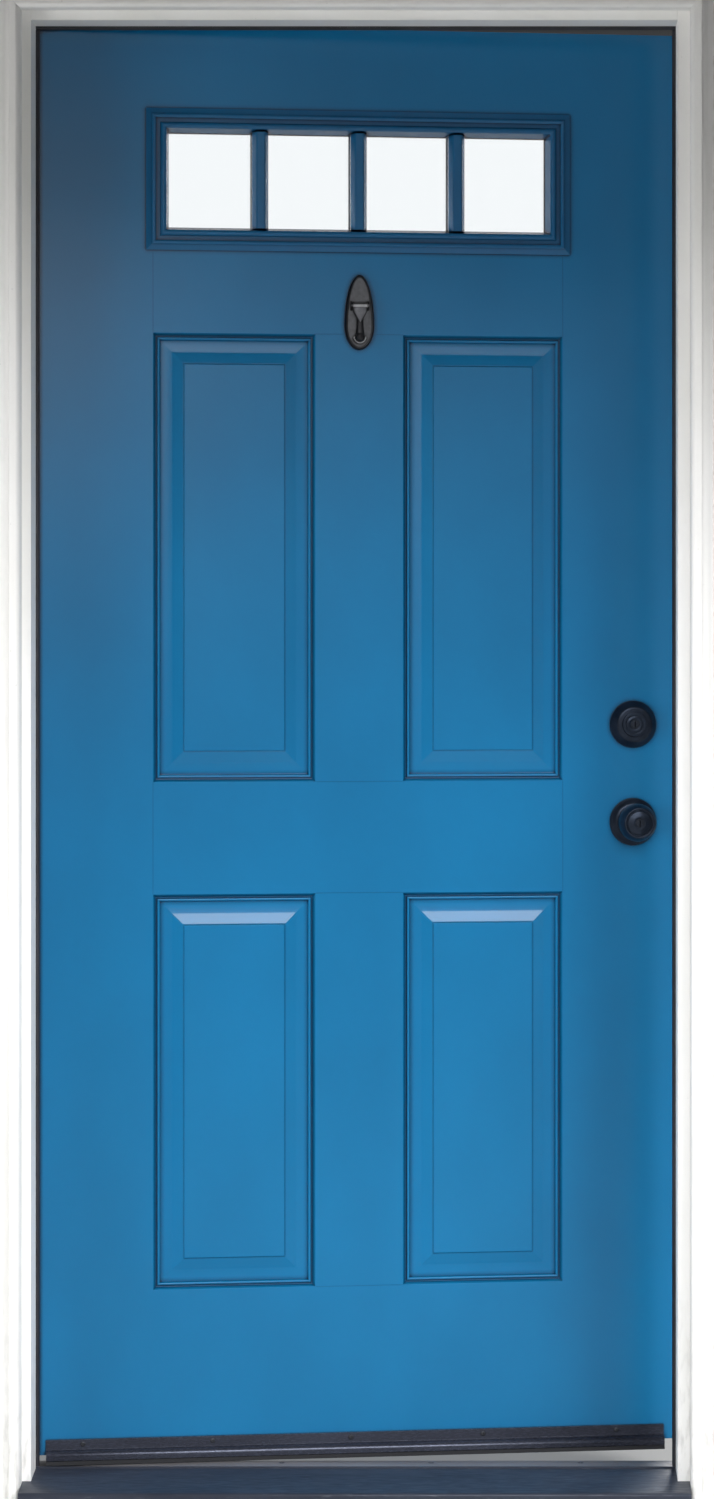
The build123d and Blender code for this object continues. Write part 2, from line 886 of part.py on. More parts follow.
def make_knocker():
    back = Plane((0, face_out, knocker_z), x_dir=(1, 0, 0), z_dir=(0, -1, 0))
    rim = knocker_rim
    outline = back * egg(knocker_half_width, knocker_lower_part, knocker_upper_part)
    face = back.offset(knocker_thickness) * egg(
        knocker_half_width - rim, knocker_lower_part - rim, knocker_upper_part - rim
    )
    plate = loft([outline, face]) + knocker_ears() + anvil()
    reach = striker_half_width + ear_clearance + ear_thickness
    pin = rod_x(knocker_pivot_y, knocker_pivot_z, knocker_pin_radius, -reach, reach)
    write_leaf("knocker_plate", plate - pin)
    write_leaf("knocker_pin", pin)
    write_leaf("knocker_striker", striker())


def striker():
    y = knocker_pivot_y
    z = knocker_pivot_z
    hammer_z = z - striker_drop
    half = striker_half_width
    waist_z = (z + hammer_z) / 2
    eye = rod_x(y, z, striker_eye_radius, -half, half)
    arm = run_y(
        shape(
            (-half, z), (-half, z - striker_shoulder), (-striker_waist, waist_z), (-striker_waist, hammer_z),
            (striker_waist, hammer_z), (striker_waist, waist_z), (half, z - striker_shoulder), (half, z),
        ),
        y - striker_plate / 2, y + striker_plate / 2,
    )
    back = face_out - knocker_thickness - fit_gap
    hammer = rod_y(0, hammer_z, hammer_radius, y - hammer_out, back)
    hammer = chamfer(hammer.faces().sort_by(Axis.Y)[0].edges(), hammer_edge)
    hole = rod_x(y, z, knocker_pin_radius + pin_clearance, -half - past, half + past)
    return eye + arm + hammer - hole


# Lock parts that both locks share

def faceplate_blank(z):
    half_y = faceplate_width / 2
    half_z = faceplate_height / 2
    return block(
        (half_leaf - faceplate_thickness, half_leaf), (middle_y - half_y, middle_y + half_y),
        (z - half_z, z + half_z),
    )


def make_case(name, z, bolt_end):
    inner_end = half_leaf - faceplate_thickness
    case = rod_x(middle_y, z, case_radius, lock_x - case_behind_axis, inner_end)
    case -= bolt_room(z, bolt_end - bolt_clearance, inner_end, bolt_clearance)
    case -= block(
        (lock_x - hub_reach, lock_x + hub_reach), (middle_y - case_radius, middle_y + case_radius),
        (z - hub_reach, z + hub_reach),
    )
    write_leaf(name + "_case", case)
    write_leaf(name + "_faceplate", faceplate_blank(z) - bolt_room(z, inner_end, half_leaf, bolt_clearance))


def keyed_plug(z, front, back):
    half = keyway_width / 2
    reach = keyway_height / 2
    slot = block((lock_x - half, lock_x + half), (front, front + keyway_depth), (z - reach, z + reach))
    return rod_y(lock_x, z, plug_radius, front, back) - slot


# Deadbolt

def make_deadbolt():
    z = deadbolt_z
    hole = plug_radius + plug_clearance
    collar = turned(
        [
            (hole, 0), (rose_radius, 0), (rose_radius, collar_skirt),
            (collar_shoulder_radius, collar_shoulder_out), (guard_radius, collar_shoulder_out),
            (guard_radius, collar_depth), (hole, collar_depth),
        ],
        face_out, z, -1,
    )
    plate_hole = thumb_stem_radius + plug_clearance
    plate = turned(
        [
            (plate_hole, 0), (rose_radius, 0), (rose_radius, plate_skirt),
            (rose_radius - plate_taper, plate_depth), (plate_hole, plate_depth),
        ],
        face_in, z, 1,
    )
    write_leaf("deadbolt_outer_collar", collar)
    write_leaf("deadbolt_inner_plate", plate)
    write_leaf("deadbolt_key_plug", keyed_plug(z, face_out - collar_depth, face_out + plug_behind_face))
    write_leaf("deadbolt_thumbturn", thumbturn(z))
    bolt_end = half_leaf - deadbolt_length
    make_case("deadbolt", z, bolt_end)
    write_leaf("deadbolt_bolt", bolt_room(z, bolt_end, half_leaf, 0))


def thumbturn(z):
    front = face_in + plate_depth
    collar_radius = thumb_stem_radius + thumb_collar
    collar_end = front + thumb_collar_out
    shaft = rod_y(lock_x, z, thumb_stem_radius, face_in, front + fit_gap)
    collar = rod_y(lock_x, z, collar_radius, front + fit_gap, collar_end)
    half = thumb_length / 2
    wing = (collar_end + front + thumb_out) / 2
    outline = shape(
        (z - thumb_waist / 2, collar_end), (z + thumb_waist / 2, collar_end), (z + half, wing),
        (z + half, front + thumb_out), (z - half, front + thumb_out), (z - half, wing),
    )
    outer_corners = [corner for corner in outline.vertices() if corner.Y > collar_end + fit_gap]
    outline = fillet(outer_corners, thumb_corner)
    upright = mirror(outline, about=Plane((0, 0, 0), z_dir=(1, -1, 0)))
    paddle = run_x(upright, lock_x - thumb_thickness / 2, lock_x + thumb_thickness / 2)
    tail = block(
        (lock_x - tail_thickness / 2, lock_x + tail_thickness / 2),
        (face_out + plug_behind_face + fit_gap, face_in), (z - tail_width / 2, z + tail_width / 2),
    )
    return shaft + collar + paddle + tail


# Knob lock

def knob(face, outward):
    start = rose_skirt + fit_gap
    points = [
        (0, start), (knob_neck_radius, start), (knob_neck_radius, knob_neck_out),
        (knob_radius, knob_shoulder_out), (knob_radius, knob_brow_out), (knob_face_radius, knob_out),
        (0, knob_out),
    ]
    return turned(points, face, knob_z, outward)


def rose(face, outward):
    bore = knob_neck_radius + rose_clearance
    points = [
        (bore, 0), (rose_radius, 0), (rose_radius, rose_skirt), (rose_radius - rose_taper, rose_depth),
        (bore, rose_depth),
    ]
    return turned(points, face, knob_z, outward)


def make_knob_lock():
    z = knob_z
    half = spindle_width / 2
    near = face_out - rose_skirt - fit_gap - spindle_grip
    far = face_in + rose_skirt + fit_gap + spindle_grip
    spindle = block((lock_x - half, lock_x + half), (near, far), (z - half, z + half))
    hole = plug_radius + plug_clearance
    outer_front = face_out - knob_out
    inner_front = face_in + knob_out
    outer_bore = rod_y(lock_x, z, hole, outer_front, outer_front + knob_bore)
    inner_bore = rod_y(lock_x, z, hole, inner_front - knob_bore, inner_front)
    write_leaf("knob_outer_rose", rose(face_out, -1))
    write_leaf("knob_inner_rose", rose(face_in, 1))
    write_leaf("outer_knob", knob(face_out, -1) - outer_bore - spindle)
    write_leaf("inner_knob", knob(face_in, 1) - inner_bore - spindle)
    write_leaf("knob_spindle", spindle)
    write_leaf("knob_key_plug", keyed_plug(z, outer_front, outer_front + knob_bore - fit_gap))
    button_face = inner_front + button_out
    button = rod_y(lock_x, z, plug_radius, inner_front - knob_bore + fit_gap, button_face)
    grip_x = (lock_x - button_grip_width / 2, lock_x + button_grip_width / 2)
    grip_z = (z - keyway_height / 2, z + keyway_height / 2)
    grip = block(grip_x, (button_face, button_face + button_grip_out), grip_z)
    write_leaf("knob_turn_button", button + grip)
    bolt_end = half_leaf - latch_tail
    make_case("latch", z, bolt_end - latch_throw)
    write_leaf("latch_bolt", latch_bolt(bolt_end))


def latch_bolt(bolt_end):
    # The nose is bevelled on its indoor side, which meets the strike first.
    tip = half_leaf + latch_throw
    outdoor = middle_y - bolt_thickness / 2
    indoor = middle_y + bolt_thickness / 2
    bevel = shape((tip - latch_throw, indoor), (tip, indoor), (tip, outdoor + latch_nose_flat))
    bolt = bolt_room(knob_z, bolt_end, tip, 0)
    return bolt - run_z(bevel, knob_z - bolt_height / 2, knob_z + bolt_height / 2)


make_sill()
make_threshold()
make_jambs()
make_casing()
make_weatherstrips()
make_strikes()
make_hinges()
make_skins()
make_leaf_frame()
make_glazing()
make_sweep()
make_knocker()
make_deadbolt()
make_knob_lock()
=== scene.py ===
import math

import bpy
from mathutils import Matrix, Vector


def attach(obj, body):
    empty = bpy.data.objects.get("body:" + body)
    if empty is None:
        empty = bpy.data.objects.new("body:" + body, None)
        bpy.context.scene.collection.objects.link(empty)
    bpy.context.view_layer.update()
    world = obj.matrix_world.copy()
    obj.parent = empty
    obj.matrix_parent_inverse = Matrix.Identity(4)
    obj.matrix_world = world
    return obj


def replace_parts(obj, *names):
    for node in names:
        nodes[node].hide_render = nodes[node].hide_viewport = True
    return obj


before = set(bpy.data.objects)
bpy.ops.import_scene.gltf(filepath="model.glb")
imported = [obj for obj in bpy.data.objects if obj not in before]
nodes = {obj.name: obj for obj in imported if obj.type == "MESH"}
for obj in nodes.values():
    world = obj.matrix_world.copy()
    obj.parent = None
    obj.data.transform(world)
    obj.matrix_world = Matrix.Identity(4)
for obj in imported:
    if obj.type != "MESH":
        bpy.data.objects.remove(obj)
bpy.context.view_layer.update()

# The leaf stands ajar: what rides on it is drawn closed, in millimetres, and turned about the pins.
AJAR = math.radians(8.5)
PIN = Vector((-0.4556, 0.1224, 0))
LEAF = Matrix.Translation(PIN) @ Matrix.Rotation(AJAR, 4, "Z") @ Matrix.Translation(-PIN)
MM = Matrix.Scale(0.001, 4)
FACE_OUT = 71.4
FACE_IN = 115.9
MIDDLE = (FACE_OUT + FACE_IN) / 2
LEAF_EDGE = 454.0
HALF_RABBET = 457.2
LOCK_X = 393.7
KNOB_Z = 932.7
BOLT_Z = 1072.0
PIVOT = (0.0, 61.4, 1665.0)
HINGES = (380.8, 1053.5, 1828.2)
LEAF_BOTTOM = 50.0
LEAF_TOP = 2057.0
PANEL_X = (62.2, 292.0)
PANEL_ROWS = ((278.0, 834.5), (992.0, 1625.0))
LITE_FRAME_BOTTOM = 1741.0


# Material helpers

def linear(code):
    def channel(v):
        return v / 12.92 if v <= 0.04045 else ((v + 0.055) / 1.055) ** 2.4
    return tuple(channel(int(code[i:i + 2], 16) / 255) for i in (1, 3, 5)) + (1.0,)


def add(tree, kind, inputs=None, **settings):
    node = tree.nodes.new(kind)
    for key, value in settings.items():
        setattr(node, key, value)
    for key, value in (inputs or {}).items():
        if isinstance(value, bpy.types.NodeSocket):
            tree.links.new(value, node.inputs[key])
        else:
            node.inputs[key].default_value = value
    return node


def new_material(name, colour, roughness, metallic=0.0):
    material = bpy.data.materials.new(name)
    material.use_nodes = True
    shader = material.node_tree.nodes["Principled BSDF"]
    shader.inputs["Base Color"].default_value = linear(colour)
    shader.inputs["Roughness"].default_value = roughness
    shader.inputs["Metallic"].default_value = metallic
    return material


def parts_of(material):
    tree = material.node_tree
    return tree, tree.nodes["Principled BSDF"]


def own_space(tree):
    # Coordinates of the piece itself, in metres.
    return add(tree, "ShaderNodeTexCoord").outputs["Object"]


def leaf_space(tree):
    # Coordinates of the closed leaf, in metres.
    shift = PIN - Matrix.Rotation(-AJAR, 3, "Z") @ PIN
    mapping = {"Vector": own_space(tree), "Location": shift, "Rotation": (0, 0, -AJAR)}
    return add(tree, "ShaderNodeMapping", mapping).outputs["Vector"]


def noise(tree, space, size_mm, stretch=(1, 1, 1), detail=3.0):
    # Size is in millimetres across a blotch, and stretch lengthens it along an axis.
    scale = [1 / s for s in stretch]
    mapped = add(tree, "ShaderNodeMapping", {"Vector": space, "Scale": scale}).outputs["Vector"]
    inputs = {"Vector": mapped, "Scale": 1000 / size_mm, "Detail": detail}
    return add(tree, "ShaderNodeTexNoise", inputs).outputs["Fac"]


def ramp(tree, value, low, high, to_low=0.0, to_high=1.0):
    inputs = {"Value": value, "From Min": low, "From Max": high, "To Min": to_low, "To Max": to_high}
    return add(tree, "ShaderNodeMapRange", inputs).outputs["Result"]


def sums(tree, operation, a, b=0.0, c=0.0):
    return add(tree, "ShaderNodeMath", {0: a, 1: b, 2: c}, operation=operation).outputs["Value"]


def mixed(tree, fac, a, b):
    return add(tree, "ShaderNodeMix", {0: fac, 6: a, 7: b}, data_type="RGBA").outputs[2]


def bump(tree, height, distance_mm, strength=1.0, before=None):
    inputs = {"Height": height, "Distance": distance_mm / 1000, "Strength": strength}
    if before is not None:
        inputs["Normal"] = before
    return add(tree, "ShaderNodeBump", inputs).outputs["Normal"]


def open_part(tree, reach_mm, low, high):
    # Ambient occlusion, used to paint shade into hollows: 0 deep in a groove or corner, 1 on open faces.
    inputs = {"Distance": reach_mm / 1000}
    open_share = add(tree, "ShaderNodeAmbientOcclusion", inputs, samples=8).outputs["AO"]
    return ramp(tree, open_share, low, high)


def use(tree, output, shader, name):
    tree.links.new(output, shader.inputs[name])


def drifting(material, space_of, dark, light, size_mm, stretch, rough, fine_mm, bump_mm):
    # Colour drifts from dark to light in soft blotches, with a fine unevenness of the surface.
    tree, shader = parts_of(material)
    space = space_of(tree)
    cloud = ramp(tree, noise(tree, space, size_mm, stretch), 0.3, 0.7)
    use(tree, mixed(tree, cloud, linear(dark), linear(light)), shader, "Base Color")
    fine = noise(tree, space, fine_mm, stretch)
    use(tree, ramp(tree, fine, 0.3, 0.7, *rough), shader, "Roughness")
    use(tree, bump(tree, fine, bump_mm, 0.4), shader, "Normal")
    return material


# Materials

def blue_paint(name, dark, light):
    # Satin paint laid on with a brush: strokes run up the stiles and across the rails, and the
    # joint lines of a framed door are pressed faintly into the skin.
    material = new_material(name, light, 0.265)
    tree, shader = parts_of(material)
    shader.inputs["Specular IOR Level"].default_value = 0.42
    space = leaf_space(tree)
    xyz = add(tree, "ShaderNodeSeparateXYZ", {"Vector": space})
    across = sums(tree, "ABSOLUTE", xyz.outputs["X"])
    height = xyz.outputs["Z"]
    panel_in, panel_out = [x / 1000 for x in PANEL_X]
    panel_levels = [z / 1000 for row in PANEL_ROWS for z in row]
    line_half = 0.0006
    on_stile = sums(tree, "GREATER_THAN", across, panel_out)
    upright = noise(tree, space, 7, (1, 1, 40), 1.0)
    level = noise(tree, space, 7, (40, 1, 1), 1.0)
    strokes = add(tree, "ShaderNodeMix", {0: on_stile, 2: level, 3: upright}).outputs[0]
    cloud = ramp(tree, noise(tree, space, 240, (1, 1, 1.6)), 0.3, 0.7)
    colour = mixed(tree, cloud, linear(dark), linear(light))

    def band(low, high):
        above = sums(tree, "GREATER_THAN", height, low)
        return sums(tree, "MULTIPLY", above, sums(tree, "LESS_THAN", height, high))

    lock_rail = band(panel_levels[1], panel_levels[2])
    rails = sums(tree, "ADD", lock_rail, band(panel_levels[3], LITE_FRAME_BOTTOM / 1000))
    lines = sums(tree, "MULTIPLY", sums(tree, "COMPARE", across, panel_out, line_half), rails)
    between = sums(tree, "LESS_THAN", across, panel_in)
    for z in panel_levels:
        level_line = sums(tree, "COMPARE", height, z, line_half)
        lines = sums(tree, "MAXIMUM", lines, sums(tree, "MULTIPLY", level_line, between))
    faint = sums(tree, "MULTIPLY", lines, 0.3)
    # Painted shade: ambient occlusion darkens the grooves and corners of the mouldings, mixed with the
    # faint dark joint lines.
    painted_groove_shade = sums(tree, "SUBTRACT", 1.0, open_part(tree, 7, 0.56, 0.98))
    joints_and_painted_shade = sums(tree, "MAXIMUM", faint, painted_groove_shade)
    use(tree, mixed(tree, joints_and_painted_shade, colour, linear("#03243f")), shader, "Base Color")
    brushed = bump(tree, strokes, 0.04, 0.2)
    pressed = sums(tree, "SUBTRACT", 1.0, lines)
    use(tree, bump(tree, pressed, 0.3, 0.6, brushed), shader, "Normal")
    return material


def white_paint():
    # Exterior paint, lightly chalked, with grime close to the sill and a few dark marks.
    material = new_material("white_exterior_paint", "#f4f3ef", 0.5)
    tree, shader = parts_of(material)
    space = own_space(tree)
    soft = ramp(tree, noise(tree, space, 120, (1, 1, 3)), 0.3, 0.7)
    clean = mixed(tree, soft, linear("#f3f2ee"), linear("#fbfaf8"))
    height = add(tree, "ShaderNodeSeparateXYZ", {"Vector": space}).outputs["Z"]
    near_sill = ramp(tree, height, 0.02, 0.32, 1.0, 0.0)
    streaks = ramp(tree, noise(tree, space, 9, (1, 1, 4), 5.0), 0.5, 0.72)
    grime = sums(tree, "MULTIPLY", sums(tree, "MULTIPLY", near_sill, streaks), 0.45)
    marks = ramp(tree, noise(tree, space, 5, (1, 1, 1.5), 2.0), 0.74, 0.8, 0.0, 0.35)
    dirt = sums(tree, "MAXIMUM", grime, marks)
    use(tree, mixed(tree, dirt, clean, linear("#8d8b84")), shader, "Base Color")
    use(tree, bump(tree, noise(tree, space, 1.6, (1, 1, 30)), 0.08, 0.3), shader, "Normal")
    return material


def tread_metal():
    # Dark anodised sill with dust and pale scuffs where feet land.
    material = new_material("dark_anodised_tread", "#353a46", 0.42, metallic=0.35)
    tree, shader = parts_of(material)
    space = own_space(tree)
    cloud = ramp(tree, noise(tree, space, 60, (3, 1, 1)), 0.3, 0.7)
    base = mixed(tree, cloud, linear("#2e323e"), linear("#3b404c"))
    scuffs = ramp(tree, noise(tree, space, 3, (8, 1, 1), 6.0), 0.6, 0.75, 0.0, 0.4)
    use(tree, mixed(tree, scuffs, base, linear("#6d7078")), shader, "Base Color")
    use(tree, ramp(tree, noise(tree, space, 4, (6, 1, 1)), 0.3, 0.7, 0.34, 0.55), shader, "Roughness")
    use(tree, bump(tree, noise(tree, space, 1.2, (20, 1, 1)), 0.05, 0.3), shader, "Normal")
    return material


def iron_with_painted_sheen(name, sheen_and_wear_to):
    # Near-black cast iron, painted a lighter grey on what faces out as a painted sheen that also stands for
    # wear, with painted shade dark in its hollows.
    material = new_material(name, "#2a2a2e", 0.34, metallic=0.35)
    tree, shader = parts_of(material)
    normal = add(tree, "ShaderNodeTexCoord").outputs["Normal"]
    outward = (math.sin(AJAR), -math.cos(AJAR), 0)
    dots = add(tree, "ShaderNodeVectorMath", {0: normal, 1: outward}, operation="DOT_PRODUCT")
    space = leaf_space(tree)
    facing_out_sheen = ramp(tree, dots.outputs["Value"], 0.7, 0.97)
    patchy = ramp(tree, noise(tree, space, 6, detail=4.0), 0.3, 0.7, 0.65, 1.0)
    sheen_wear_and_shade = sums(tree, "MULTIPLY", sums(tree, "MULTIPLY", facing_out_sheen, patchy), open_part(tree, 5, 0.55, 0.92))
    use(tree, mixed(tree, sheen_wear_and_shade, linear("#0f0f12"), linear(sheen_and_wear_to)), shader, "Base Color")
    use(tree, bump(tree, noise(tree, space, 0.9), 0.12, 0.5), shader, "Normal")
    return material


def clear_glass():
    # Clear float glass, which shows the bright room behind it.
    material = new_material("clear_float_glass", "#f7f9fa", 0.0)
    shader = material.node_tree.nodes["Principled BSDF"]
    shader.inputs["Transmission Weight"].default_value = 1.0
    shader.inputs["IOR"].default_value = 1.5
    return material


white = white_paint()
blue = blue_paint("brushed_satin_blue_paint", "#076594", "#096ea0")
lite_blue = blue_paint("shaded_blue_lite_frame_paint", "#0f5784", "#12608e")
edge_blue = blue_paint("blue_painted_edge_timber", "#085480", "#0a5d89")
tread = tread_metal()
# Copies of one cast iron, lighter or darker by the painted sheen and highlight that each part of the
# knocker shows.
iron_plate = iron_with_painted_sheen("plate_cast_iron_painted_sheen", "#606165")
iron_striker = iron_with_painted_sheen("striker_cast_iron_painted_sheen", "#737479")
iron_eye = iron_with_painted_sheen("cast_iron_painted_highlight", "#b4b5b8")
iron_rim = iron_with_painted_sheen("dark_cast_iron_rim", "#26262a")
clear = clear_glass()
# Soft vinyl skin, dulled and slightly dusty
seal = drifting(
    new_material("dark_vinyl_weatherstrip", "#23242a", 0.6), own_space,
    "#1b1c21", "#2c2d33", 40, (1, 1, 4), (0.5, 0.7), 1.5, 0.05,
)
# Mill-finish aluminium gone dull, with drawing lines along its length
threshold_grey = drifting(
    new_material("dulled_aluminium_threshold", "#8d8a8c", 0.45, metallic=0.5), own_space,
    "#7d7a7c", "#9a9799", 50, (5, 1, 1), (0.38, 0.55), 1.4, 0.06,
)
# Dark anodised extrusion with a soft sheen
sweep_dark = drifting(
    new_material("dark_anodised_sweep", "#3a3d49", 0.26, metallic=0.6), leaf_space,
    "#343743", "#434754", 45, (5, 1, 1), (0.2, 0.32), 1.3, 0.05,
)
# Flexible vinyl that drags on the threshold
sweep_vinyl = new_material("black_vinyl_fin", "#17181c", 0.7)
# Moulded composite of the sill's core
sill_core = drifting(
    new_material("moulded_composite_sill", "#35353a", 0.7), own_space,
    "#303035", "#3c3c41", 30, (2, 1, 1), (0.6, 0.8), 1.0, 0.1,
)
# Near-black rubbed plating with a brown cast at its wear
bronze = drifting(
    new_material("rubbed_bronze_plating", "#212a38", 0.34, metallic=0.7), leaf_space,
    "#1c2431", "#2b3442", 14, (1, 1, 1), (0.28, 0.42), 1.1, 0.04,
)
# The ring and keyed face of the locks, a shade lighter where hands touch
bronze_face = drifting(
    new_material("handled_bronze_plating", "#2b303a", 0.3, metallic=0.75), leaf_space,
    "#252a33", "#363b45", 9, (1, 1, 1), (0.24, 0.38), 1.0, 0.03,
)
# Satin-plated steel of the bolts and cases
steel = drifting(
    new_material("satin_plated_steel", "#8c8a86", 0.32, metallic=1.0), leaf_space,
    "#7f7d79", "#98968f", 12, (4, 1, 1), (0.26, 0.4), 0.8, 0.03,
)
# Dark plated butt hinges
hinge_metal = drifting(
    new_material("dark_plated_hinge", "#2a2a2e", 0.36, metallic=0.85), own_space,
    "#232327", "#35353a", 16, (1, 1, 2), (0.3, 0.45), 0.9, 0.04,
)
# Zinc-plated screws, dulled outdoors
zinc = new_material("dull_zinc_screw", "#4b4d52", 0.4, metallic=0.8)
# Mill-finish spacer between the panes
spacer = new_material("mill_aluminium_spacer", "#a8a9aa", 0.4, metallic=0.9)
# Bare softwood with its grain
softwood = drifting(
    new_material("bare_softwood", "#b9966a", 0.65), leaf_space,
    "#a9835a", "#c6a578", 6, (1, 1, 30), (0.55, 0.75), 0.8, 0.08,
)
# Rigid insulating foam
foam = drifting(
    new_material("rigid_foam", "#e2d6a2", 0.85), leaf_space,
    "#d8cb95", "#e8deb2", 20, (1, 1, 1), (0.8, 0.9), 0.7, 0.15,
)

FINISH = {
    white: [
        "hinge_jamb", "strike_jamb", "head_jamb", "hinge_side_brickmould", "strike_side_brickmould",
        "head_brickmould",
    ],
    sill_core: ["sill_base"],
    tread: ["sill_tread"],
    threshold_grey: ["threshold_cap"],
    seal: ["hinge_side_weatherstrip", "strike_side_weatherstrip", "head_weatherstrip"],
    bronze: [
        "latch_strike", "deadbolt_strike", "deadbolt_outer_collar", "deadbolt_inner_plate",
        "deadbolt_faceplate", "deadbolt_thumbturn", "knob_outer_rose", "knob_inner_rose", "outer_knob",
        "inner_knob", "latch_faceplate", "knob_turn_button",
    ],
    bronze_face: ["knob_key_plug", "deadbolt_key_plug"],
    hinge_metal: ["hinge_frame_leaves", "hinge_pins", "hinge_door_leaves"],
    blue: ["outer_skin", "inner_skin"],
    edge_blue: ["hinge_stile", "lock_stile", "top_rail", "bottom_rail"],
    lite_blue: ["outer_lite_frame", "inner_lite_frame"],
    softwood: ["lock_block"],
    foam: ["foam_core"],
    clear: ["outer_pane", "inner_pane"],
    spacer: ["glass_spacer"],
    sweep_dark: ["sweep_carrier"],
    sweep_vinyl: ["sweep_fin"],
    iron_plate: ["knocker_plate"],
    iron_striker: ["knocker_pin", "knocker_striker"],
    steel: ["deadbolt_case", "deadbolt_bolt", "latch_case", "latch_bolt", "knob_spindle"],
}
# Edges that catch the light, by the width of the rounding in millimetres
SOFTENED = {
    0.8: [
        "hinge_jamb", "strike_jamb", "head_jamb", "hinge_side_brickmould", "strike_side_brickmould",
        "head_brickmould",
    ],
    0.45: ["inner_skin", "outer_lite_frame", "inner_lite_frame", "sill_tread"],
    0.5: ["threshold_cap", "sweep_carrier", "knocker_plate", "latch_strike", "deadbolt_strike"],
    0.35: [
        "hinge_door_leaves", "hinge_frame_leaves", "deadbolt_bolt", "latch_bolt", "deadbolt_thumbturn",
    ],
}

for material, names in FINISH.items():
    for name in names:
        mesh = nodes[name].data
        mesh.materials.clear()
        mesh.materials.append(material)


def soften(obj, width_mm):
    weld = obj.modifiers.new("weld", "WELD")
    weld.merge_threshold = 0.00001
    flats = obj.modifiers.new("whole_flats", "DECIMATE")
    flats.decimate_type = "DISSOLVE"
    flats.angle_limit = math.radians(0.4)
    bevel = obj.modifiers.new("soft_edges", "BEVEL")
    bevel.width = width_mm / 1000
    bevel.segments = 2
    bevel.limit_method = "ANGLE"
    bevel.angle_limit = math.radians(28)
    bevel.harden_normals = True
    bevel.use_clamp_overlap = True


for width, names in SOFTENED.items():
    for name in names:
        soften(nodes[name], width)


# Piece helpers

def piece(name, verts, faces, body, material, smooth_angle=35):
    mesh = bpy.data.meshes.new(name)
    mesh.from_pydata([tuple(v) for v in verts], [], faces)
    mesh.materials.append(material)
    mesh.validate()
    mesh.polygons.foreach_set("use_smooth", [True] * len(mesh.polygons))
    mesh.set_sharp_from_angle(angle=math.radians(smooth_angle))
    mesh.transform(MM if body == "frame" else LEAF @ MM)
    mesh.update()
    obj = bpy.data.objects.new(name, mesh)
    bpy.context.scene.collection.objects.link(obj)
    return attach(obj, body)


def rounded(profile, steps=6):
    # Each corner of a profile is (radius, out, rounding).
    points = []
    for index, (r, out, rounding) in enumerate(profile):
        if not rounding or index in (0, len(profile) - 1):
            points.append((r, out))
            continue
        corner = Vector((r, out))
        to_last = Vector(profile[index - 1][:2]) - corner
        to_next = Vector(profile[index + 1][:2]) - corner
        start = corner + to_last.normalized() * min(rounding, to_last.length * 0.49)
        end = corner + to_next.normalized() * min(rounding, to_next.length * 0.49)
        for step in range(steps + 1):
            t = step / steps
            points.append(tuple(start * (1 - t) ** 2 + corner * 2 * t * (1 - t) + end * t * t))
    return points


def rings(outlines, closed_ends=(True, True)):
    # Skins a stack of outlines that have the same number of points.
    count = len(outlines[0])
    verts = [point for outline in outlines for point in outline]
    faces = []
    for level in range(len(outlines) - 1):
        for i in range(count):
            j = (i + 1) % count
            a = level * count
            b = a + count
            faces.append((a + i, a + j, b + j, b + i))
    if closed_ends[0]:
        faces.append(tuple(reversed(range(count))))
    if closed_ends[1]:
        faces.append(tuple(range(len(verts) - count, len(verts))))
    return verts, faces


def joined(shapes):
    verts = []
    faces = []
    for part_verts, part_faces in shapes:
        start = len(verts)
        verts += part_verts
        faces += [tuple(start + i for i in face) for face in part_faces]
    return verts, faces


def placed(shape, centre, axis):
    # Sets a shape drawn about +Z at a centre, with +Z along an axis.
    turn = Vector((0, 0, 1)).rotation_difference(Vector(axis)).to_matrix()
    verts, faces = shape
    return [tuple(turn @ Vector(v) + Vector(centre)) for v in verts], faces


def lathe(profile, count):
    # Turns a profile of (radius, out) about +Z.
    outlines = []
    for r, out in profile:
        turns = [2 * math.pi * i / count for i in range(count)]
        outlines.append([(r * math.cos(t), r * math.sin(t), out) for t in turns])
    return rings(outlines, (False, False))


def cross_recess_head(radius, height, recess=0.55, arm=0.16):
    # A low domed head with a cross-shaped driver recess; its underside lies at 0.
    count = 32
    dome = [(radius, 0), (radius, height * 0.35), (radius * 0.86, height * 0.8), (radius * 0.66, height)]
    verts, faces = lathe(dome, count)
    inner = []
    for i in range(count):
        t = 2 * math.pi * i / count
        c, s = math.cos(t), math.sin(t)
        reach = radius * recess
        slim = radius * arm
        limit = reach if min(abs(c), abs(s)) * reach < slim else slim / min(abs(c), abs(s))
        inner.append((limit * c, limit * s))
    start = len(verts)
    verts += [(x, y, height) for x, y in inner]
    verts += [(x * 0.7, y * 0.7, height * 0.25) for x, y in inner]
    top = start - count
    for i in range(count):
        j = (i + 1) % count
        faces.append((top + i, top + j, start + j, start + i))
        faces.append((start + i, start + j, start + count + j, start + count + i))
    faces.append(tuple(range(start + count, start + 2 * count)))
    return verts, faces


def screws(name, places, axis, radius, height, body, material):
    head = cross_recess_head(radius, height)
    verts, faces = joined([placed(head, place, axis) for place in places])
    return piece(name, verts, faces, body, material, 30)


OUT = (0, -1, 0)
IN = (0, 1, 0)


def turned_piece(name, profile, face, z, axis, body, node):
    # A round part of a lock, on the bore's axis, in place of its plainer solid.
    verts, faces = placed(lathe(rounded(profile), 112), (LOCK_X, face, z), axis)
    obj = piece(name, verts, faces, body, bronze, 32)
    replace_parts(obj, node)


# The moulded outdoor skin

SKIN = 2.0
SHEET = 0.8
# Half the width, the bottom and the top of the opening for the lites
LITE_CUT = (290.0, 1753.0, 1929.0)
BORE = 27.0
BORE_HALF = LEAF_EDGE - LOCK_X


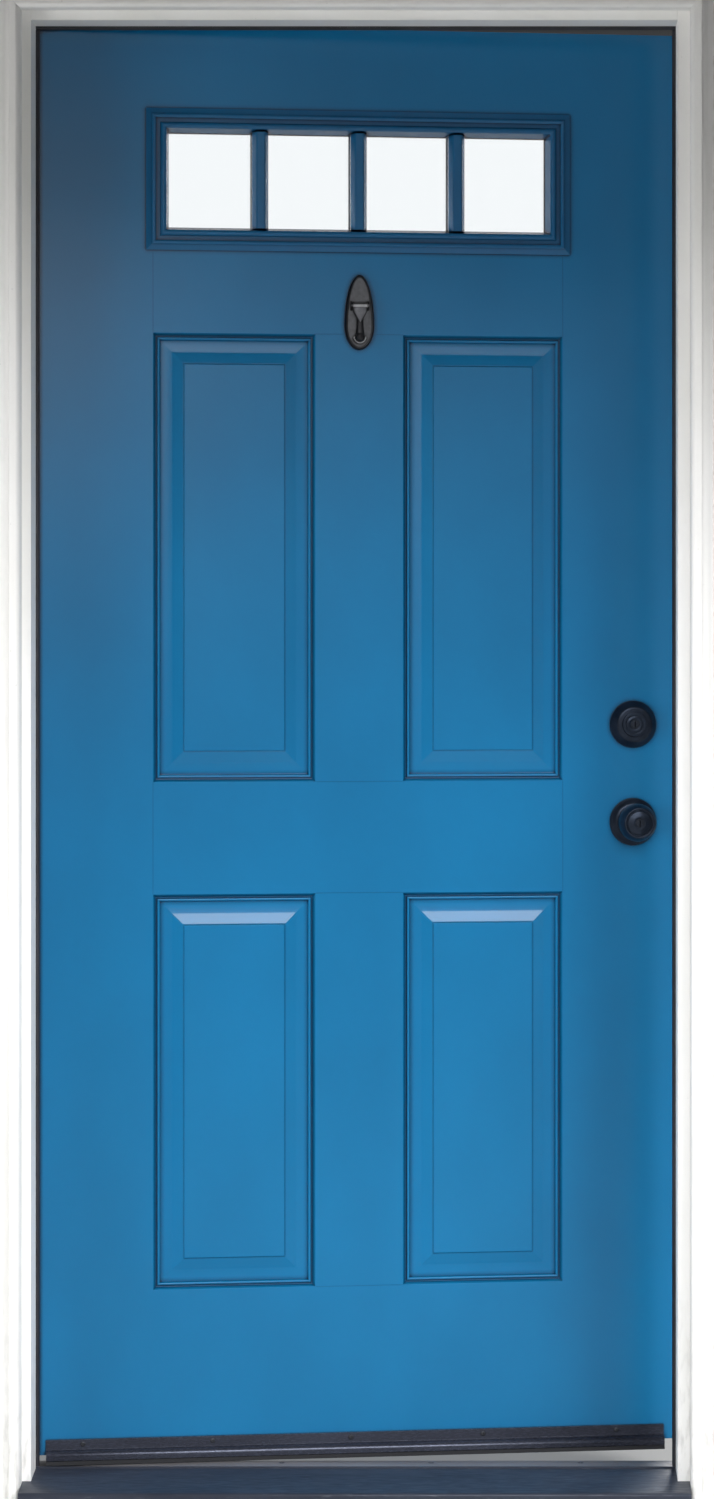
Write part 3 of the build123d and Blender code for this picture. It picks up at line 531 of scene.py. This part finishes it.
def sticking_profile():
    # Distance in from the panel's outline, and depth: a groove, a round bead, a quirk, a hollow,
    # the bevel and the small step up to the field.
    bead_middle, bead_half, bead_rise, groove_depth = 7.9, 2.3, 2.5, 5.0
    bead = []
    for i in range(9):
        t = math.pi * i / 8
        inset = bead_middle - bead_half * math.cos(t)
        bead.append((inset, groove_depth - bead_rise * math.sin(t)))
    groove = [(0.25, 0.08), (0.6, 0.4), (3.6, 4.7), (4.2, groove_depth)]
    hollow = [(11.0, 6.5), (11.8, 6.7), (16.5, 6.5), (22.0, 6.1), (27.0, 5.5), (28.0, 5.3)]
    step = [(42.0, 1.4), (42.7, 1.6), (43.3, 1.6), (44.4, 0.25), (45.0, 0.0)]
    return groove + bead + hollow + step


class Sheet:
    # The outdoor side of the leaf as a single sheet whose faces share their points.
    def __init__(self):
        self.verts = []
        self.faces = []
        self.known = {}

    def at(self, x, depth, z):
        key = (round(x, 3), round(depth, 3), round(z, 3))
        if key not in self.known:
            self.known[key] = len(self.verts)
            self.verts.append((x, FACE_OUT + depth, z))
        return self.known[key]

    def add(self, points):
        self.faces.append(tuple(self.at(*point) for point in points))

    def band(self, outer, inner):
        # Skins two closed loops that have the same number of points.
        for i in range(len(outer)):
            j = (i + 1) % len(outer)
            self.add([outer[i], outer[j], inner[j], inner[i]])


def corners_of(low, high, bottom, top, inset=0.0, depth=0.0):
    # A rectangle's corners, drawn in by the inset and let in to the depth.
    left, right = low + inset, high - inset
    under, over = bottom + inset, top - inset
    return [(left, depth, under), (right, depth, under), (right, depth, over), (left, depth, over)]


def bore_loops(z, count=48):
    # A square round a lock's bore and the bore's own circle, with as many points.
    circle = []
    square = []
    for i in range(count):
        t = 2 * math.pi * i / count
        c, s = math.cos(t), math.sin(t)
        reach = BORE_HALF / max(abs(c), abs(s))
        circle.append((LOCK_X + BORE * c, 0.0, z + BORE * s))
        square.append((round(LOCK_X + reach * c, 3), 0.0, round(z + reach * s, 3)))
    return square, circle


def flat_parts():
    # The flat rectangles between the panels, the opening of the lites and the squares of the bores.
    inner, outer = PANEL_X
    half, cut_low, cut_high = LITE_CUT
    square_left = LOCK_X - BORE_HALF
    levels = [LEAF_BOTTOM, *PANEL_ROWS[0], *PANEL_ROWS[1], cut_low]
    bore_levels = [z + side for z in (KNOB_Z, BOLT_Z) for side in (-BORE_HALF, BORE_HALF)]
    stile_levels = [LEAF_BOTTOM, *bore_levels, LEAF_TOP]
    parts = [(-LEAF_EDGE, -outer, LEAF_BOTTOM, LEAF_TOP), (outer, square_left, LEAF_BOTTOM, LEAF_TOP)]
    parts += [(-outer, outer, levels[i], levels[i + 1]) for i in (0, 2, 4)]
    parts += [(-inner, inner, bottom, top) for bottom, top in PANEL_ROWS]
    parts += [(-outer, -half, cut_low, cut_high), (half, outer, cut_low, cut_high)]
    parts.append((-outer, outer, cut_high, LEAF_TOP))
    parts += [(square_left, LEAF_EDGE, stile_levels[i], stile_levels[i + 1]) for i in (0, 2, 4)]
    return parts


def edge_loop(points, low, high, bottom, top):
    # Every known point on a rectangle's edge, in order round it.
    under = sorted(x for x, z in points if z == bottom and low <= x < high)
    right = sorted(z for x, z in points if x == high and bottom <= z < top)
    over = sorted((x for x, z in points if z == top and low < x <= high), reverse=True)
    left = sorted((z for x, z in points if x == low and bottom < z <= top), reverse=True)
    loop = [(x, 0.0, bottom) for x in under] + [(high, 0.0, z) for z in right]
    return loop + [(x, 0.0, top) for x in over] + [(low, 0.0, z) for z in left]


def moulded_skin(name, node):
    sheet = Sheet()
    inner, outer = PANEL_X
    panels = [(a, b, *row) for row in PANEL_ROWS for a, b in ((-outer, -inner), (inner, outer))]
    half, cut_low, cut_high = LITE_CUT
    cut = (-half, half, cut_low, cut_high)
    leaf = (-LEAF_EDGE, LEAF_EDGE, LEAF_BOTTOM, LEAF_TOP)
    bores = [bore_loops(z) for z in (KNOB_Z, BOLT_Z)]
    rectangles = flat_parts() + panels + [cut]
    points = {(round(x, 3), round(z, 3)) for r in rectangles for x, _, z in corners_of(*r)}
    points |= {(x, z) for square, _ in bores for x, _, z in square}
    for part in flat_parts():
        sheet.add(edge_loop(points, *[round(v, 3) for v in part]))
    for square, circle in bores:
        sheet.band(square, circle)
        sheet.band(circle, [(x, SKIN, z) for x, _, z in circle])
    for panel in panels:
        last = corners_of(*panel)
        for inset, depth in sticking_profile():
            ring = corners_of(*panel, inset, depth)
            sheet.band(last, ring)
            last = ring
        sheet.add(last)
    # The sheet turns in round the leaf's edge and round the opening of the lites.
    border = edge_loop(points, *leaf)
    sheet.band([(x, SKIN, z) for x, _, z in border], border)
    opening = edge_loop(points, *cut)
    sheet.band(opening, [(x, SKIN, z) for x, _, z in opening])
    skin = piece(name, sheet.verts, sheet.faces, "door", blue, 35)
    # The mitres stay crisp.
    for edge in skin.data.edges:
        a, b = (sheet.verts[i] for i in edge.vertices)
        across, up = abs(a[0] - b[0]), abs(a[2] - b[2])
        if across > 0.1 and abs(across - up) < 0.01:
            edge.use_edge_sharp = True
    solid = skin.modifiers.new("pressed_sheet", "SOLIDIFY")
    solid.thickness = SHEET / 1000
    solid.offset = -1
    normals = skin.modifiers.new("true_flats", "WEIGHTED_NORMAL")
    normals.keep_sharp = True
    normals.weight = 100
    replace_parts(skin, node)


moulded_skin("outer_skin_moulded", "outer_skin")


# Locks

HOLE = 6.6
# Profiles of (radius, out from the leaf, rounding)
KNOB = [
    (HOLE, 38, 0), (HOLE, 55.9, 0.3), (9, 56, 0.6), (16.4, 54.7, 1.0), (17.3, 53.7, 0.3),
    (18.1, 53.7, 0.3), (19.0, 55.2, 0.8), (21.5, 55.4, 1.6), (26.9, 43.5, 9), (27, 27.5, 7),
    (11.6, 17.5, 6), (11, 14, 1.5), (11, 1.8, 0),
]
ROSE = [
    (11.3, 0, 0), (11.3, 7.8, 0.3), (25.8, 8, 2.5), (30.4, 4.4, 2.0), (31.4, 3.4, 0.5), (33.3, 2.6, 0.8),
    (33.5, 0, 0),
]
COLLAR = [
    (HOLE, 0, 0), (HOLE, 17.7, 0.3), (9.5, 18, 0.5), (11.6, 17.3, 0.4), (12.6, 17.3, 0.4),
    (13.4, 18, 0.5), (17.6, 18, 0.7), (18, 14.5, 0.3), (24.6, 14.5, 2.5), (33.3, 3.2, 2.2),
    (33.5, 0, 0),
]
PLATE = [(6.1, 0, 0), (6.1, 8.8, 0.3), (28.8, 9, 2.5), (33.3, 3.4, 2.0), (33.5, 0, 0)]

turned_piece("outer_knob_turned", KNOB, FACE_OUT, KNOB_Z, OUT, "knobs", "outer_knob")
turned_piece("inner_knob_turned", KNOB, FACE_IN, KNOB_Z, IN, "knobs", "inner_knob")
turned_piece("outer_rose_turned", ROSE, FACE_OUT, KNOB_Z, OUT, "door", "knob_outer_rose")
turned_piece("inner_rose_turned", ROSE, FACE_IN, KNOB_Z, IN, "door", "knob_inner_rose")
turned_piece("deadbolt_collar_turned", COLLAR, FACE_OUT, BOLT_Z, OUT, "door", "deadbolt_outer_collar")
turned_piece("deadbolt_plate_turned", PLATE, FACE_IN, BOLT_Z, IN, "door", "deadbolt_inner_plate")


# Knocker

SEAT_Z = PIVOT[2] - 44


def section(z, half, front, back, power=2.4, count=40):
    # One level of the striker: a soft-cornered oval, in closed-leaf coordinates.
    middle = (front + back) / 2
    depth = (front - back) / 2
    points = []
    for i in range(count):
        t = 2 * math.pi * i / count
        c, s = math.cos(t), math.sin(t)
        x = half * math.copysign(abs(c) ** (2 / power), c)
        y = depth * math.copysign(abs(s) ** (2 / power), s)
        points.append((x, middle + y, z))
    return points


def striker_part(levels):
    # Levels of (up from the pin, half width, out and back from the pin)
    y, z = PIVOT[1:]
    return rings([section(z + up, half, y - out, y + back) for up, half, out, back in levels])


# A shield that narrows to a point over the neck
SHIELD = [
    (0.5, 9.6, 2.6, 2.0), (-2, 10.4, 3.4, 2.2), (-6, 10.2, 3.9, 2.0), (-10, 9.0, 4.2, 1.6),
    (-15, 6.4, 4.3, 1.4), (-20, 3.4, 4.0, 1.4), (-23, 0.8, 3.2, 1.4),
]
verts, faces = striker_part(SHIELD)
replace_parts(piece("knocker_striker_shield", verts, faces, "striker", iron_striker, 40), "knocker_striker")
# The neck swells from behind the shield into a round hammer.
NECK = [
    (-4, 8.6, 2.0, 1.8), (-14, 5.8, 2.2, 1.6), (-20, 4.6, 2.4, 1.6), (-26, 4.6, 3.0, 1.8),
    (-32, 5.2, 4.0, 2.0), (-38, 5.8, 4.8, 2.4), (-42, 5.4, 4.6, 2.6),
]
hammer = rounded([(0.01, -4.6, 0), (5.6, -4.6, 1.5), (6.6, 0.5, 2.5), (5.8, 5.2, 3.0), (0.01, 6.4, 0)])
hammer_place = (0, PIVOT[1], SEAT_Z)
verts, faces = joined([striker_part(NECK), placed(lathe(hammer, 40), hammer_place, OUT)])
piece("knocker_hammer", verts, faces, "striker", iron_rim, 40)
# The eye that rolls round the pin, with a painted highlight across its front
eye = lathe([(4.1, -9.9), (4.1, 9.9), (1.7, 9.9), (1.7, -9.9), (4.1, -9.9)], 48)
verts, faces = placed(eye, PIVOT, (1, 0, 0))
piece("knocker_eye", verts, faces, "striker", iron_eye, 40)


def seat(inset, y, count=40):
    # A crescent under the hammer, open at the top.
    arc = [math.radians(178 + 184 * i / count) for i in range(count + 1)]

    def bend(radius, turns):
        return [(radius * math.cos(t), y, SEAT_Z + radius * math.sin(t)) for t in turns]

    return bend(9.5 - inset, arc) + bend(6.8 + inset, reversed(arc))


# The rim that the hammer falls into, bright with a painted highlight
verts, faces = rings([seat(0, 66), seat(0, 63.6), seat(0.5, 62.9)])
piece("knocker_seat", verts, faces, "door", iron_eye, 40)


def egg(inset, y, count=96):
    # The plate's outline, drawn in by the inset: long above its widest level and short below.
    points = []
    for i in range(count):
        t = 2 * math.pi * i / count
        tall = 72 if math.sin(t) > 0 else 34
        points.append(((21 - inset) * math.cos(t), y, 1637 + (tall - inset) * math.sin(t)))
    return points


# The raised rim of the knocker's plate
rim = [egg(0.15, 71.3), egg(0.1, 68.6), egg(1.1, 66.6), egg(2.4, 65.7), egg(3.7, 65.9), egg(4.3, 66.6)]
verts, faces = rings(rim, (False, False))
piece("knocker_rim", verts, faces, "door", iron_rim, 40)


# Small fasteners

sweep_z = LEAF_BOTTOM + 14.5
sweep_xs = (-390, -208, -12, 177, 369)
screws(
    "sweep_screws", [(x, FACE_OUT - 1.8, sweep_z) for x in sweep_xs], OUT, 3.6, 1.4, "door", zinc,
)
hinge_rows = [(z + dz, y) for z in HINGES for dz, y in ((38, 94), (14, 103), (-14, 94), (-38, 103))]
screws(
    "hinge_frame_screws", [(-HALF_RABBET, y, z) for z, y in hinge_rows], (1, 0, 0), 4.2, 0.5, "frame",
    hinge_metal,
)
screws(
    "hinge_door_screws", [(-LEAF_EDGE, y, z) for z, y in hinge_rows], (-1, 0, 0), 4.2, 0.5, "door",
    hinge_metal,
)
strike_rows = [KNOB_Z + 21, KNOB_Z - 21, BOLT_Z + 26, BOLT_Z - 26]
screws(
    "strike_screws", [(HALF_RABBET, MIDDLE, z) for z in strike_rows], (-1, 0, 0), 3.8, 0.4, "frame",
    bronze,
)
face_rows = [KNOB_Z + 20, KNOB_Z - 20, BOLT_Z + 20, BOLT_Z - 20]
screws(
    "faceplate_screws", [(LEAF_EDGE, MIDDLE, z) for z in face_rows], (1, 0, 0), 3.6, 0.4, "door", bronze,
)
through = [(LOCK_X + side * 20.5, FACE_IN + 8.0, KNOB_Z) for side in (-1, 1)]
through += [(LOCK_X + side * 20.5, FACE_IN + 9.0, BOLT_Z) for side in (-1, 1)]
screws("lock_through_screws", through, IN, 3.4, 1.2, "door", bronze)
cap_places = [(-315 + 210 * i, 92.7, 35.2) for i in range(4)]
screws("threshold_adjusters", cap_places, (0, 0, 1), 5.2, 1.0, "frame", zinc)
lite_places = [(x, FACE_IN + 4.6, z) for x in (-270, -90, 90, 270) for z in (1924.0, 1758.0)]
plug = lathe(rounded([(3.4, -1.5, 0), (3.4, 0.5, 0.6), (0.01, 0.8, 0)]), 32)
verts, faces = joined([placed(plug, place, IN) for place in lite_places])
piece("lite_frame_screw_plugs", verts, faces, "door", lite_blue, 35)


# Stage, camera and light

def looked_at(tree):
    # 1 where the eye sees a surface, straight or through the glass.
    path = add(tree, "ShaderNodeLightPath").outputs
    return sums(tree, "MAXIMUM", path["Is Camera Ray"], path["Is Transmission Ray"])


def plane(name, corners, colour, roughness=0.8):
    mesh = bpy.data.meshes.new(name)
    mesh.from_pydata(corners, [], [(0, 1, 2, 3)])
    material = new_material(name + "_finish", colour, roughness)
    mesh.materials.append(material)
    obj = bpy.data.objects.new(name, mesh)
    bpy.context.scene.collection.objects.link(obj)
    return obj


floor = plane("pale_floor", [(-30, -30, 0), (30, -30, 0), (30, 30, 0), (-30, 30, 0)], "#c9c8c5")
# Away from the door the floor looks evenly pale; close to it, it keeps the door's shadow.
tree, shader = parts_of(floor.data.materials[0])
away = add(tree, "ShaderNodeVectorMath", {0: own_space(tree)}, operation="LENGTH").outputs["Value"]
even = sums(tree, "MULTIPLY", looked_at(tree), ramp(tree, away, 0.8, 2.6))
glow = add(tree, "ShaderNodeEmission", {"Color": linear("#e4e3e0")}).outputs[0]
ground = add(tree, "ShaderNodeMixShader", {0: even, 1: shader.outputs[0], 2: glow})
tree.links.new(ground.outputs[0], tree.nodes["Material Output"].inputs["Surface"])
# A porch ceiling that the camera doesn't see, which shades the upper part of the door
porch_z = 2.3
porch_corners = [(-3, -2.2, porch_z), (3, -2.2, porch_z), (3, -0.06, porch_z), (-3, -0.06, porch_z)]
porch = plane("porch_ceiling", porch_corners, "#3a3835")
porch.visible_camera = False
# A dark card of painted shade, seen only from below through the gap over the leaf, that stands for the
# shade inside the room
shade_card_corners = [(-0.2, 0.38, 2.1), (0.52, 0.38, 2.1), (0.52, 0.54, 2.1), (-0.2, 0.54, 2.1)]
painted_shade_card = plane("painted_shade_card", shade_card_corners, "#0f0d0d")
tree, shader = parts_of(painted_shade_card.data.materials[0])
under = add(tree, "ShaderNodeNewGeometry").outputs["Backfacing"]
clear_above = add(tree, "ShaderNodeBsdfTransparent").outputs[0]
either = add(tree, "ShaderNodeMixShader", {0: under, 1: clear_above, 2: shader.outputs[0]})
tree.links.new(either.outputs[0], tree.nodes["Material Output"].inputs["Surface"])


def area_light(name, place, target, size, power, colour="#ffffff", spread=180):
    # A smaller spread, in degrees, keeps the light close to where the lamp points.
    light = bpy.data.lights.new(name, "AREA")
    light.shape = "RECTANGLE"
    light.size, light.size_y = size
    light.energy = power
    light.spread = math.radians(spread)
    light.color = linear(colour)[:3]
    obj = bpy.data.objects.new(name, light)
    bpy.context.scene.collection.objects.link(obj)
    obj.location = place
    obj.rotation_mode = "QUATERNION"
    obj.rotation_quaternion = (Vector(target) - Vector(place)).to_track_quat("-Z", "Y")
    obj.visible_camera = False
    return obj


# The open sky to the right and the street to the left light the paint without laying their mirror
# image over the flat leaf, and both fall off towards the top.
sky = area_light("open_sky", (4.3, -4.1, 3.4), (0, 0, 0.45), (3.0, 2.2), 43, spread=60)
sky.visible_glossy = False
street = area_light("street_side", (-4.6, -3.4, 1.0), (0.4, 0, 0.4), (2.4, 1.8), 20, spread=55)
street.visible_glossy = False
# What the satin paint mirrors: a high band of sky on the bevels, a pale gap on the hinge side and a
# faint haze across the top
area_light("high_sky", (1.7, -5.8, 3.75), (0, 0, 0.9), (5.4, 1.2), 290, "#fbfcff")
area_light("pale_gap", (0.5, -6.0, 2.1), (0, 0, 1.6), (0.9, 0.9), 11)
area_light("pale_haze", (1.9, -6.0, 2.5), (0, 0, 1.6), (2.0, 0.7), 2.5)
room = area_light("room_side", (1.0, 4.5, 2.6), (0, 0, 1.1), (3, 2.5), 110)
room.visible_transmission = False

world = bpy.data.worlds.new("soft_studio")
world.use_nodes = True
bpy.context.scene.world = world
tree = world.node_tree
lit = add(tree, "ShaderNodeBackground", {"Color": linear("#f2f5fa"), "Strength": 0.12})
shown = add(tree, "ShaderNodeBackground", {"Color": (1, 1, 1, 1), "Strength": 1.0})
blend = add(tree, "ShaderNodeMixShader", {0: looked_at(tree), 1: lit.outputs[0], 2: shown.outputs[0]})
tree.links.new(blend.outputs[0], tree.nodes["World Output"].inputs["Surface"])

scene = bpy.context.scene
scene.view_settings.view_transform = "Standard"
camera_data = bpy.data.cameras.new("photo_camera")
camera_data.sensor_width = 36
camera_data.lens = 4420 / 1499 * 36
camera_data.shift_x = -0.0925
camera_data.shift_y = -0.0710
camera_data.clip_end = 200
camera = bpy.data.objects.new("photo_camera", camera_data)
scene.collection.objects.link(camera)
camera.location = (0.1957, -6.1196, 1.188)
camera.rotation_euler = (math.pi / 2, 0, 0)
scene.camera = camera
